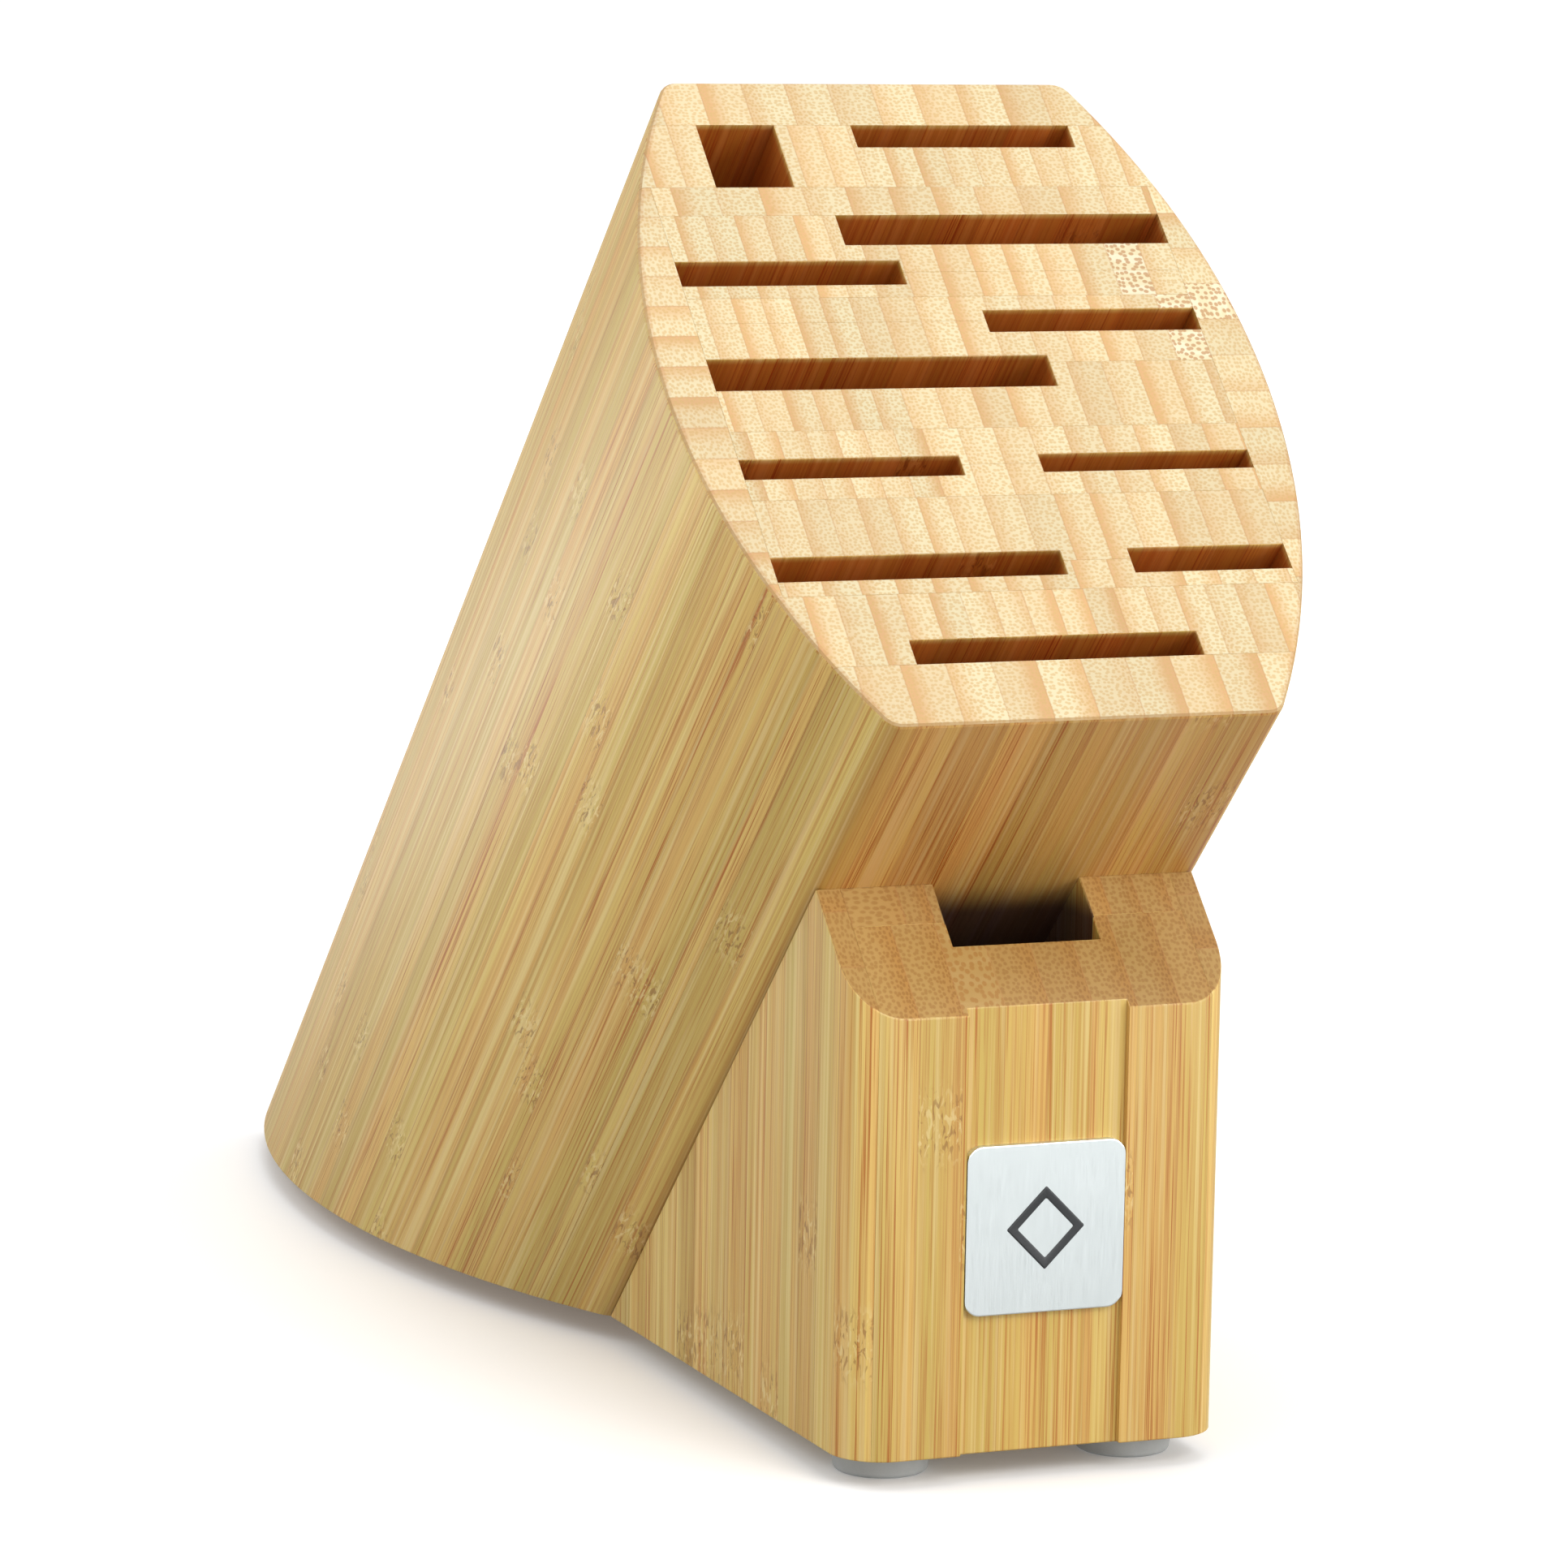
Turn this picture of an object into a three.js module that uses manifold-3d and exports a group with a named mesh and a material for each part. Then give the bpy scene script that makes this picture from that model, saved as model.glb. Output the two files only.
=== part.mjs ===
// Laminated bamboo knife block, empty: a leaning body with blade slots and a square steel hole,
// a vertical-grain foot block with a shears pocket, a metal badge, and four screwed-on rubber feet.
//
// Row frame: millimetres, +Z up, +Y towards the back, X across. The origin is on the table
// under the middle of the block's outer extent.
// Body frame: x across, v from the back flat towards the front flat, s along the lean,
// 0 at the slotted face and negative towards the table.

import * as THREE from 'three';
import { mergeVertices } from 'three/addons/utils/BufferGeometryUtils.js';
import Module from 'manifold-3d';

const wasm = await Module();
wasm.setup();

// ---- Driving dimensions -------------------------------------------------------------------

const LEAN = Math.PI / 4;          // the body leans back from the vertical by this much
const BODY_WIDTH = 101.7;          // widest, across the bulging sides
const BODY_DEPTH = 128.2;          // back flat to front flat, along v
const BODY_RISE = 205.1;           // underside of the wood to the slotted face's back edge
const SIDE_RADIUS = 125;           // bulge of each side
const WIDEST_V = 62;               // where the sides bulge most
const CORNER_RADIUS = 3.5;         // between a side and a flat
const EDGE_ROUND = 0.9;            // round-over round the slotted face
const CHEEK_INNER = 42.6;          // half the distance between the two side cheeks

const FOOT_HALF_WIDTH = 31.6;
const FOOT_FRONT_Y = -136.3;
const FOOT_TOP_S = -40.9;          // the foot's top is parallel to the slotted face
const FOOT_CORNER_RADIUS = 8;
const FOOT_CHEEK_THICKNESS = 4;
const FOOT_BOARD_THICKNESS = 12.2;
const SHEARS_HALF_WIDTH = 12.3;
const SHEARS_THICKNESS = 11.7;
const SHEARS_DEPTH = 85;

const CHANNEL_HALF_WIDTH = 13.3;   // shallow channel down the foot's front, for the badge
const CHANNEL_DEPTH = 1.1;
const BADGE_WIDTH = 26.3;
const BADGE_THICKNESS = 1.2;
const BADGE_CORNER_RADIUS = 2.5;
const BADGE_Z = 39.3;
const MARK_REACH = 6.5;            // centre to corner of the lozenge on the badge
const MARK_LINE = 1.3;
const MARK_THICKNESS = 0.1;

const RUBBER_HEIGHT = 4.5;
const RUBBER_TOP_RADIUS = 7.9;
const RUBBER_BASE_RADIUS = 7.4;
const RUBBER_EDGE = 0.8;
const RUBBER_WEB = 2.1;            // rubber left between the screw head and the wood
const HEAD_RECESS_RADIUS = 3.7;
const FEET = {
  front_left: [-20.5, -122.3],
  front_right: [20.5, -122.3],
  rear_left: [-24, 128],
  rear_right: [24, 128],
};

const SCREW_HEAD_RADIUS = 3;
const SCREW_HEAD_HEIGHT = 1.5;
const SCREW_SHANK_RADIUS = 1.4;
const SCREW_LENGTH = 13;
const SCREW_POINT = 3;
const SLOT_DRIVE = [0.8, 4.6, 0.7];   // width, length and depth of the driver slot

const DOWEL_RADIUS = 4;
const DOWEL_X = 20;
const DOWEL_S = -90;
const DOWEL_IN_BODY = 7;
const DOWEL_IN_FOOT = 18;

const GLUE = 0.04;                 // glue line between neighbouring boards
const HOLE_PLAY = 0.12;            // radial room round a dowel or a screw
const END_PLAY = 0.3;              // room beyond each end of a dowel
const ROUND = 32;                  // facets round a turned piece
const FAR = 400;                   // longer than anything in the block

// Each slot: [x from, x to, v from, v to, depth below the slotted face].
const SLOTS = {
  steel: [-31.5, -18.4, 9.4, 22.5, 230],
  blade_1: [-5.2, 32.6, 9.4, 14.0, 215],
  blade_2: [-13.1, CHEEK_INNER, 28.4, 34.5, 225],
  blade_3: [-CHEEK_INNER, -5.0, 37.8, 42.7, 185],
  blade_4: [6.2, CHEEK_INNER, 48.2, 52.6, 175],
  blade_5: [-CHEEK_INNER, 14.4, 57.5, 63.7, 200],
  blade_6: [-CHEEK_INNER, -6.4, 77.3, 81.1, 150],
  blade_7: [6.9, CHEEK_INNER, 77.3, 80.8, 150],
  blade_8: [-CHEEK_INNER, 4.8, 96.2, 100.8, 160],
  blade_9: [16.1, CHEEK_INNER, 96.1, 100.8, 125],
  blade_10: [-24.7, 22.5, 112.4, 117.0, 150],
};

// Boards of the body in order from the back flat: [name, v from, v to]. The slots that fall
// inside a lamination divide it into two boards, each carrying half of the slot.
const FULL_BOARDS = [
  ['board_01_back', 0, 9.4],
  ['board_10', 103.7, 117.0],
  ['board_11_front', 117.0, BODY_DEPTH],
];
const CORE_BOARDS = [
  ['board_03', 22.5, 28.4],
  ['board_04a', 28.4, 40.25],
  ['board_04b', 40.25, 45.35],
  ['board_05a', 45.35, 50.4],
  ['board_05b', 50.4, 58.95],
  ['board_06', 58.95, 71.9],
  ['board_07a', 71.9, 79.1],
  ['board_07b', 79.1, 85.3],
  ['board_08', 85.3, 98.2],
  ['board_09', 98.2, 103.7],
];
const STEEL_BOARD = [9.4, 22.5];   // the second lamination, which the steel hole cuts in two
const CHEEK_SPAN = [22.5, 103.7];

// ---- Frames -------------------------------------------------------------------------------

const reach = BODY_RISE + BODY_DEPTH * Math.sin(LEAN);
const backEdge = new THREE.Vector3(0, reach / 2 - BODY_RISE, RUBBER_HEIGHT + BODY_RISE);
const BODY_TO_ROW = new THREE.Matrix4()
  .makeRotationX(LEAN)
  .setPosition(backEdge);

const inBody = (geometry) => geometry.applyMatrix4(BODY_TO_ROW);

// ---- Solids -------------------------------------------------------------------------------

function solid(geometry) {
  const bare = new THREE.BufferGeometry();
  bare.setAttribute('position', geometry.getAttribute('position'));
  bare.setIndex(geometry.getIndex());
  const welded = mergeVertices(bare, 1e-5);
  return new wasm.Manifold(new wasm.Mesh({
    numProp: 3,
    vertProperties: new Float32Array(welded.getAttribute('position').array),
    triVerts: new Uint32Array(welded.getIndex().array),
  }));
}

function geometryOf(manifold) {
  const mesh = manifold.getMesh();
  const geometry = new THREE.BufferGeometry();
  geometry.setAttribute('position', new THREE.BufferAttribute(mesh.vertProperties, 3));
  geometry.setIndex(new THREE.BufferAttribute(mesh.triVerts, 1));
  geometry.computeVertexNormals();
  return geometry;
}

function boxGeometry([x0, x1], [y0, y1], [z0, z1]) {
  const box = new THREE.BoxGeometry(x1 - x0, y1 - y0, z1 - z0);
  return box.translate((x0 + x1) / 2, (y0 + y1) / 2, (z0 + z1) / 2);
}

const rowBox = (x, y, z) => solid(boxGeometry(x, y, z));

// A box given in the body frame.
const bodyBox = (x, [v0, v1], s) => solid(inBody(boxGeometry(x, [-v1, -v0], s)));

function arc(cx, cy, radius, from, to, steps) {
  const points = [];
  for (let i = 0; i <= steps; i += 1) {
    const angle = from + ((to - from) * i) / steps;
    points.push(new THREE.Vector2(cx + radius * Math.cos(angle), cy + radius * Math.sin(angle)));
  }
  return points;
}

// The body's section: two flats and two bulging sides, with the corners between them rounded.
function bodyOutline() {
  const sideX = BODY_WIDTH / 2 - SIDE_RADIUS;
  const reach = SIDE_RADIUS - CORNER_RADIUS;
  const frontTurn = Math.asin((BODY_DEPTH - CORNER_RADIUS - WIDEST_V) / reach);
  const backTurn = Math.asin((WIDEST_V - CORNER_RADIUS) / reach);
  const corner = (turn, y, from, to) =>
    arc(sideX + reach * Math.cos(turn), y, CORNER_RADIUS, from, to, 6);
  const right = [
    ...corner(frontTurn, CORNER_RADIUS - BODY_DEPTH, -Math.PI / 2, -frontTurn),
    ...arc(sideX, -WIDEST_V, SIDE_RADIUS, -frontTurn, backTurn, 40).slice(1, -1),
    ...corner(backTurn, -CORNER_RADIUS, backTurn, Math.PI / 2),
  ];
  const left = right.map((p) => new THREE.Vector2(-p.x, p.y)).reverse();
  return new THREE.Shape([...right, ...left]);
}

const aboveTable = rowBox([-FAR, FAR], [-FAR, FAR], [RUBBER_HEIGHT, FAR]);

function bodyEnvelope() {
  const blank = new THREE.ExtrudeGeometry(bodyOutline(), {
    depth: FAR - EDGE_ROUND,
    bevelEnabled: true,
    bevelThickness: EDGE_ROUND,
    bevelSize: EDGE_ROUND,
    bevelOffset: -EDGE_ROUND,
    bevelSegments: 3,
  });
  return solid(inBody(blank.translate(0, 0, -FAR))).intersect(aboveTable);
}

// The foot's plan: rounded front corners and the channel that takes the badge.
function footPlan() {
  const w = FOOT_HALF_WIDTH;
  const r = FOOT_CORNER_RADIUS;
  const y = FOOT_FRONT_Y;
  const channel = [
    [-CHANNEL_HALF_WIDTH, y],
    [-CHANNEL_HALF_WIDTH, y + CHANNEL_DEPTH],
    [CHANNEL_HALF_WIDTH, y + CHANNEL_DEPTH],
    [CHANNEL_HALF_WIDTH, y],
  ].map(([px, py]) => new THREE.Vector2(px, py));
  return new THREE.Shape([
    new THREE.Vector2(-w, 0),
    ...arc(-w + r, y + r, r, Math.PI, 1.5 * Math.PI, 12),
    ...channel,
    ...arc(w - r, y + r, r, 1.5 * Math.PI, 2 * Math.PI, 12),
    new THREE.Vector2(w, 0),
  ]);
}

function footEnvelope() {
  const column = new THREE.ExtrudeGeometry(footPlan(), { depth: BODY_RISE, bevelEnabled: false });
  const underTop = bodyBox([-FAR, FAR], [BODY_DEPTH + GLUE, FAR], [-FAR, FOOT_TOP_S]);
  return solid(column.translate(0, 0, RUBBER_HEIGHT)).intersect(underTop);
}

// A turned piece: profile points are [radius, height], from the axis round to the axis.
function turned(profile, segments = ROUND) {
  const points = profile.map(([r, h]) => new THREE.Vector2(r, h));
  return new THREE.LatheGeometry(points, segments).rotateX(Math.PI / 2);
}

const pin = (radius, from, to) => turned([[0, from], [radius, from], [radius, to], [0, to]]);

// ---- Materials ----------------------------------------------------------------------------

const finish = (color, roughness, metalness = 0) => () =>
  new THREE.MeshStandardMaterial({ color, roughness, metalness });

const bodyBamboo = finish(0xd9b877, 0.5);
const footBamboo = finish(0xd8b272, 0.5);
const beech = finish(0xc9a06a, 0.7);
const steel = finish(0xdfe2e2, 0.35, 0.9);
const screwSteel = finish(0xb9bcbe, 0.4, 0.9);
const markGrey = finish(0x33383a, 0.55);
const rubber = finish(0xa9acab, 0.8);

const block = new THREE.Group();
block.name = 'knife_block';

function add(name, shape, material) {
  const geometry = shape.isBufferGeometry ? shape : geometryOf(shape);
  const mesh = new THREE.Mesh(geometry, material());
  mesh.name = name;
  block.add(mesh);
}

// ---- Cutters shared by several pieces -----------------------------------------------------

const NEAR = 6;   // how far a cutter runs past the face it opens

function slotCutter([x0, x1, v0, v1, depth]) {
  const past = (x) => (Math.abs(x) === CHEEK_INNER ? x + Math.sign(x) : x);
  return bodyBox([past(x0), past(x1)], [v0, v1], [-depth, NEAR]);
}

const slotCutters = Object.fromEntries(
  Object.entries(SLOTS).map(([name, slot]) => [name, slotCutter(slot)]),
);

function reachesBoard(slot, from, to) {
  return slot[2] < to && slot[3] > from;
}

const pilotHoles = Object.values(FEET).map(([x, y]) => solid(
  pin(SCREW_SHANK_RADIUS + HOLE_PLAY, 0, RUBBER_HEIGHT + SCREW_LENGTH).translate(x, y, 0),
));

const dowelHoles = [-DOWEL_X, DOWEL_X].map((x) => solid(inBody(
  pin(DOWEL_RADIUS + HOLE_PLAY, -BODY_DEPTH - DOWEL_IN_FOOT, -BODY_DEPTH + DOWEL_IN_BODY)
    .rotateX(-Math.PI / 2)
    .translate(x, 0, DOWEL_S),
)));

function drilled(piece, holes) {
  return holes.reduce((left, hole) => left.subtract(hole), piece);
}

// ---- Body ---------------------------------------------------------------------------------

const envelope = bodyEnvelope();

function bodyPiece(x, [from, to]) {
  const inner = [from === 0 ? -NEAR : from + GLUE / 2, to === BODY_DEPTH ? to + NEAR : to - GLUE / 2];
  return bodyBox(x, inner, [-FAR, NEAR]).intersect(envelope);
}

function grooved(piece, [from, to]) {
  return Object.entries(SLOTS)
    .filter(([, slot]) => reachesBoard(slot, from, to))
    .reduce((left, [name]) => left.subtract(slotCutters[name]), piece);
}

for (const [name, from, to] of FULL_BOARDS) {
  const board = grooved(bodyPiece([-FAR, FAR], [from, to]), [from, to]);
  add(name, drilled(board, [...pilotHoles, ...dowelHoles]), bodyBamboo);
}

const coreSpan = [-CHEEK_INNER + GLUE / 2, CHEEK_INNER - GLUE / 2];
for (const [name, from, to] of CORE_BOARDS) {
  add(name, grooved(bodyPiece(coreSpan, [from, to]), [from, to]), bodyBamboo);
}

// The steel hole runs the full thickness of its lamination, between a left and a right board,
// and a short filler closes it below.
const [steelLeft, steelRight, , , steelDepth] = SLOTS.steel;
const steelSides = {
  board_02_left: [-FAR, steelLeft],
  board_02_right: [steelRight, FAR],
};
for (const [name, x] of Object.entries(steelSides)) {
  const board = bodyPiece(x, STEEL_BOARD).subtract(slotCutters.blade_1);
  add(name, drilled(board, pilotHoles), bodyBamboo);
}
const filler = bodyPiece([steelLeft + GLUE, steelRight - GLUE], STEEL_BOARD)
  .intersect(bodyBox([-FAR, FAR], STEEL_BOARD, [-FAR, -steelDepth]));
add('board_02_filler', drilled(filler, pilotHoles), bodyBamboo);

add('cheek_left', bodyPiece([-FAR, -CHEEK_INNER - GLUE / 2], CHEEK_SPAN), bodyBamboo);
add('cheek_right', bodyPiece([CHEEK_INNER + GLUE / 2, FAR], CHEEK_SPAN), bodyBamboo);

// ---- Foot ---------------------------------------------------------------------------------

const foot = footEnvelope();
const cheekX = FOOT_HALF_WIDTH - FOOT_CHEEK_THICKNESS;
const boardBackY = FOOT_FRONT_Y + FOOT_BOARD_THICKNESS;
const pocketV = BODY_DEPTH + SHEARS_THICKNESS;
const pocketS = FOOT_TOP_S - SHEARS_DEPTH;
const allZ = [0, FAR];

function footPiece(x, y) {
  return rowBox(x, y, allZ).intersect(foot);
}

add('foot_cheek_left', footPiece([-FAR, -cheekX - GLUE / 2], [-FAR, FAR]), footBamboo);
add('foot_cheek_right', footPiece([cheekX + GLUE / 2, FAR], [-FAR, FAR]), footBamboo);

const behindBoard = [boardBackY + GLUE / 2, FAR];
const pocket = bodyBox(
  [-SHEARS_HALF_WIDTH, SHEARS_HALF_WIDTH],
  [BODY_DEPTH - NEAR, pocketV],
  [pocketS, 0],
);
const frontBoard = footPiece([-cheekX + GLUE / 2, cheekX - GLUE / 2], [-FAR, boardBackY - GLUE / 2]);
add('foot_board_front', frontBoard.subtract(pocket), footBamboo);

const footBlocks = {
  foot_block_left: [-cheekX + GLUE / 2, -SHEARS_HALF_WIDTH],
  foot_block_right: [SHEARS_HALF_WIDTH, cheekX - GLUE / 2],
};
for (const [name, x] of Object.entries(footBlocks)) {
  add(name, drilled(footPiece(x, behindBoard), [...pilotHoles, ...dowelHoles]), footBamboo);
}

const betweenBlocks = footPiece(
  [-SHEARS_HALF_WIDTH + GLUE, SHEARS_HALF_WIDTH - GLUE],
  behindBoard,
);
const wedgeSide = bodyBox([-FAR, FAR], [pocketV + GLUE / 2, FAR], [-FAR, 0]);
const plugSide = bodyBox([-FAR, FAR], [0, pocketV - GLUE / 2], [-FAR, pocketS]);
add('foot_wedge', betweenBlocks.intersect(wedgeSide), footBamboo);
add('foot_plug', betweenBlocks.intersect(plugSide), footBamboo);

[-1, 1].forEach((side, i) => {
  const dowel = pin(
    DOWEL_RADIUS,
    -BODY_DEPTH - DOWEL_IN_FOOT + END_PLAY,
    -BODY_DEPTH + DOWEL_IN_BODY - END_PLAY,
  );
  const placed = dowel.rotateX(-Math.PI / 2).translate(side * DOWEL_X, 0, DOWEL_S);
  add(`dowel_${['left', 'right'][i]}`, solid(inBody(placed)), beech);
});

// ---- Badge --------------------------------------------------------------------------------

function roundedSquare(half, radius) {
  const c = half - radius;
  const corners = [[c, c, 0], [-c, c, 0.5], [-c, -c, 1], [c, -c, 1.5]];
  return corners.flatMap(([x, y, turn]) => (
    arc(x, y, radius, turn * Math.PI, (turn + 0.5) * Math.PI, 8)
  ));
}

// Extrudes a plan drawn in X and Z, with its back at y and its front towards the viewer.
function standingPlate(shape, thickness, y) {
  const plate = new THREE.ExtrudeGeometry(shape, { depth: thickness, bevelEnabled: false });
  return plate.rotateX(Math.PI / 2).translate(0, y, BADGE_Z);
}

const badgeBackY = FOOT_FRONT_Y + CHANNEL_DEPTH - GLUE / 2;
const badgeShape = new THREE.Shape(roundedSquare(BADGE_WIDTH / 2, BADGE_CORNER_RADIUS));
add('badge', solid(standingPlate(badgeShape, BADGE_THICKNESS, badgeBackY)), steel);

function lozenge(half) {
  return [[half, 0], [0, half], [-half, 0], [0, -half]].map(([x, y]) => new THREE.Vector2(x, y));
}

const markShape = new THREE.Shape(lozenge(MARK_REACH));
markShape.holes.push(new THREE.Path(lozenge(MARK_REACH - MARK_LINE * Math.SQRT2).reverse()));
const markBackY = badgeBackY - BADGE_THICKNESS - 0.02;
add('badge_mark', solid(standingPlate(markShape, MARK_THICKNESS, markBackY)), markGrey);

// ---- Rubber feet and their screws ---------------------------------------------------------

function rubberFoot() {
  const hole = SCREW_SHANK_RADIUS + HOLE_PLAY;
  const edge = arc(RUBBER_BASE_RADIUS - RUBBER_EDGE, RUBBER_EDGE, RUBBER_EDGE, -Math.PI / 2, 0, 5);
  const recessTop = RUBBER_HEIGHT - RUBBER_WEB;
  return turned([
    [hole, RUBBER_HEIGHT],
    [hole, recessTop],
    [HEAD_RECESS_RADIUS, recessTop],
    [HEAD_RECESS_RADIUS, 0],
    ...edge.map((p) => [p.x, p.y]),
    [RUBBER_TOP_RADIUS, RUBBER_HEIGHT],
    [hole, RUBBER_HEIGHT],
  ], 48);
}

function screw() {
  const seat = RUBBER_HEIGHT - RUBBER_WEB - 0.05;
  const top = seat - SCREW_HEAD_HEIGHT;
  const tip = seat + SCREW_LENGTH;
  const blank = solid(turned([
    [0, top],
    [SCREW_HEAD_RADIUS * 0.6, top],
    [SCREW_HEAD_RADIUS, top + SCREW_HEAD_HEIGHT / 2],
    [SCREW_HEAD_RADIUS, seat],
    [SCREW_SHANK_RADIUS, seat],
    [SCREW_SHANK_RADIUS, tip - SCREW_POINT],
    [0, tip],
  ], 24));
  const [width, length, depth] = SLOT_DRIVE;
  const drive = rowBox([-length / 2, length / 2], [-width / 2, width / 2], [0, top + depth]);
  return blank.subtract(drive);
}

for (const [corner, [x, y]] of Object.entries(FEET)) {
  add(`rubber_${corner}`, solid(rubberFoot().translate(x, y, 0)), rubber);
  add(`screw_${corner}`, screw().translate([x, y, 0]), screwSteel);
}

export default block;
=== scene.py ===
"""The looks of an empty knife block: laminated bamboo, a brushed badge, rubber feet and screws."""

import math

import bmesh
import bpy
from mathutils import Matrix, Vector
from mathutils.bvhtree import BVHTree


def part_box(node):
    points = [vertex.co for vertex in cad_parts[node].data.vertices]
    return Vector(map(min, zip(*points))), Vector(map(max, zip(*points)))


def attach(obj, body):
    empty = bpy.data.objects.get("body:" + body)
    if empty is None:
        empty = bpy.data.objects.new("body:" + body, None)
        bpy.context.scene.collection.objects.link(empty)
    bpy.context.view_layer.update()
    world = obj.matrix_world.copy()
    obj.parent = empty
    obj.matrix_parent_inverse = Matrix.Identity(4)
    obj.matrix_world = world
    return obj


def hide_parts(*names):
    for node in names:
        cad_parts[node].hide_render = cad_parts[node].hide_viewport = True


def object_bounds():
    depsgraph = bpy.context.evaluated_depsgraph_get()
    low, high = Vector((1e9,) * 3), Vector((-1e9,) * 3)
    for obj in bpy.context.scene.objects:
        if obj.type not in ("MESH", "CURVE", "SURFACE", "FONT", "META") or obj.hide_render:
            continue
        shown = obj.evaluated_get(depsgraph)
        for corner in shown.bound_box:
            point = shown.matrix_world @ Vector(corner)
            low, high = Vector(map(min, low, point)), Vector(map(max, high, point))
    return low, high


MM = 0.001

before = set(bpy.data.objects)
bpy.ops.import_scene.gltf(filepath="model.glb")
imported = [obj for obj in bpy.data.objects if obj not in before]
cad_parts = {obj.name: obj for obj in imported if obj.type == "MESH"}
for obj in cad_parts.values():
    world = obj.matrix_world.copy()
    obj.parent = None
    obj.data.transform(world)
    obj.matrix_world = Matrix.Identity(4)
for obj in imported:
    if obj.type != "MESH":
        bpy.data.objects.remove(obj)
CAD_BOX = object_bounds()

# ---- Frames ------------------------------------------------------------------------------

LEAN = math.radians(45)
OUT_OF_FACE = Vector((0, -math.sin(LEAN), math.cos(LEAN)))    # along the slots, out of them
TO_FRONT = Vector((0, -math.cos(LEAN), -math.sin(LEAN)))      # in the face, back to front
UP = Vector((0, 0, 1))
BACKWARDS = Vector((0, 1, 0))


def reach_of_boards(direction):
    """How far the boards of the body reach along a direction, at least and at most."""
    reach = [
        direction.dot(v.co)
        for name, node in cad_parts.items()
        if name.startswith("board_")
        for v in node.data.vertices
    ]
    return min(reach), max(reach)


BODY_BACK, BODY_FRONT = reach_of_boards(TO_FRONT)
BODY_ORIGIN = OUT_OF_FACE * reach_of_boards(OUT_OF_FACE)[1] + TO_FRONT * BODY_BACK
FOOT_ORIGIN = Vector((0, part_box("foot_board_front")[0].y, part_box("foot_board_front")[0].z))

# The shears pocket, in mm.
POCKET_HALF_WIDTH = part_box("foot_block_right")[0].x / MM
POCKET_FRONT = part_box("foot_board_front")[1].y / MM
POCKET_FRONT_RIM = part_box("foot_board_front")[1].z / MM
POCKET_BACK_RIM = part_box("foot_block_right")[1].z / MM

# ---- Shader graphs -----------------------------------------------------------------------


def linear(red, green, blue):
    """A colour given as 0 to 255 display values, for a shader."""
    def channel(value):
        value /= 255
        return value / 12.92 if value <= 0.04045 else ((value + 0.055) / 1.055) ** 2.4

    return (channel(red), channel(green), channel(blue), 1)


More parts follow.
